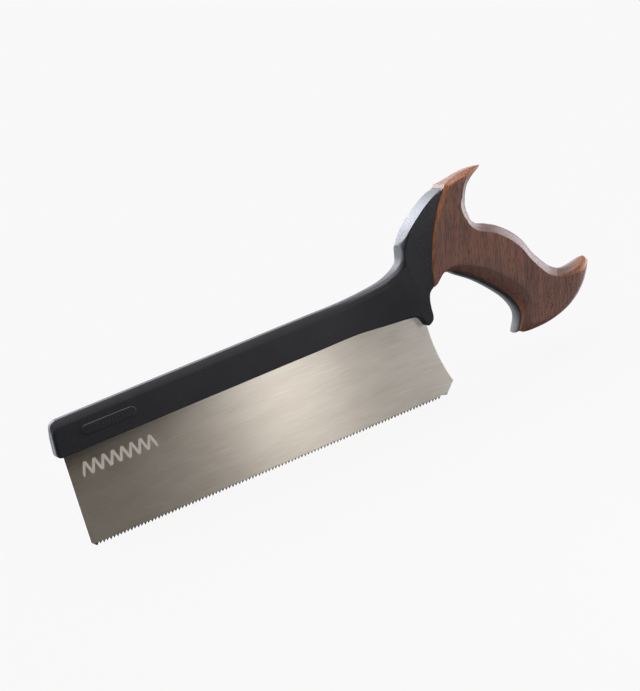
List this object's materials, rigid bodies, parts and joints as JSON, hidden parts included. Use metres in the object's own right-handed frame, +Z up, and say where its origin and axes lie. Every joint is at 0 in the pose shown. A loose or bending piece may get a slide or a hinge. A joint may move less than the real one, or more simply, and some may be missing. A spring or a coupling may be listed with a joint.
{
  "type": "back saw",
  "caption": "Fine-toothed back saw: steel blade moulded into a stiff composite back whose boss carries a bolted, scooped wooden pistol grip with a soft finger insert.",
  "frame": {"origin": "centre of the saw's length and thickness, at the height of the tooth tips", "axes": "+X along the tooth line from the toe to the grip, +Y across the blade, +Z up from the teeth to the back; the side with the raised label pad faces -Y"},
  "size_m": [0.4314, 0.0226, 0.1535],
  "materials": {
    "blade_steel": "ground along the tooth line, satin, with bright filed bevels on the teeth",
    "back_composite": "fine matte moulded texture",
    "bush_brass": "turned and knurled",
    "stud_steel": "rolled thread, zinc bright",
    "washer_steel": "stamped, zinc bright",
    "nut_brass": "turned, polished face",
    "grip_wood": "oiled open-pored hardwood, satin, with glossy rounded edges",
    "insert_rubber": "smooth, slightly glossy"
  },
  "bodies": {
    "root": {"blade": "blade_steel", "spine_moulding": "back_composite", "threaded_insert": "bush_brass", "tie_stud": "stud_steel", "stud_washer": "washer_steel", "round_nut": "nut_brass", "wood_grip": "grip_wood", "finger_insert": "insert_rubber"}
  },
  "joints": []
}
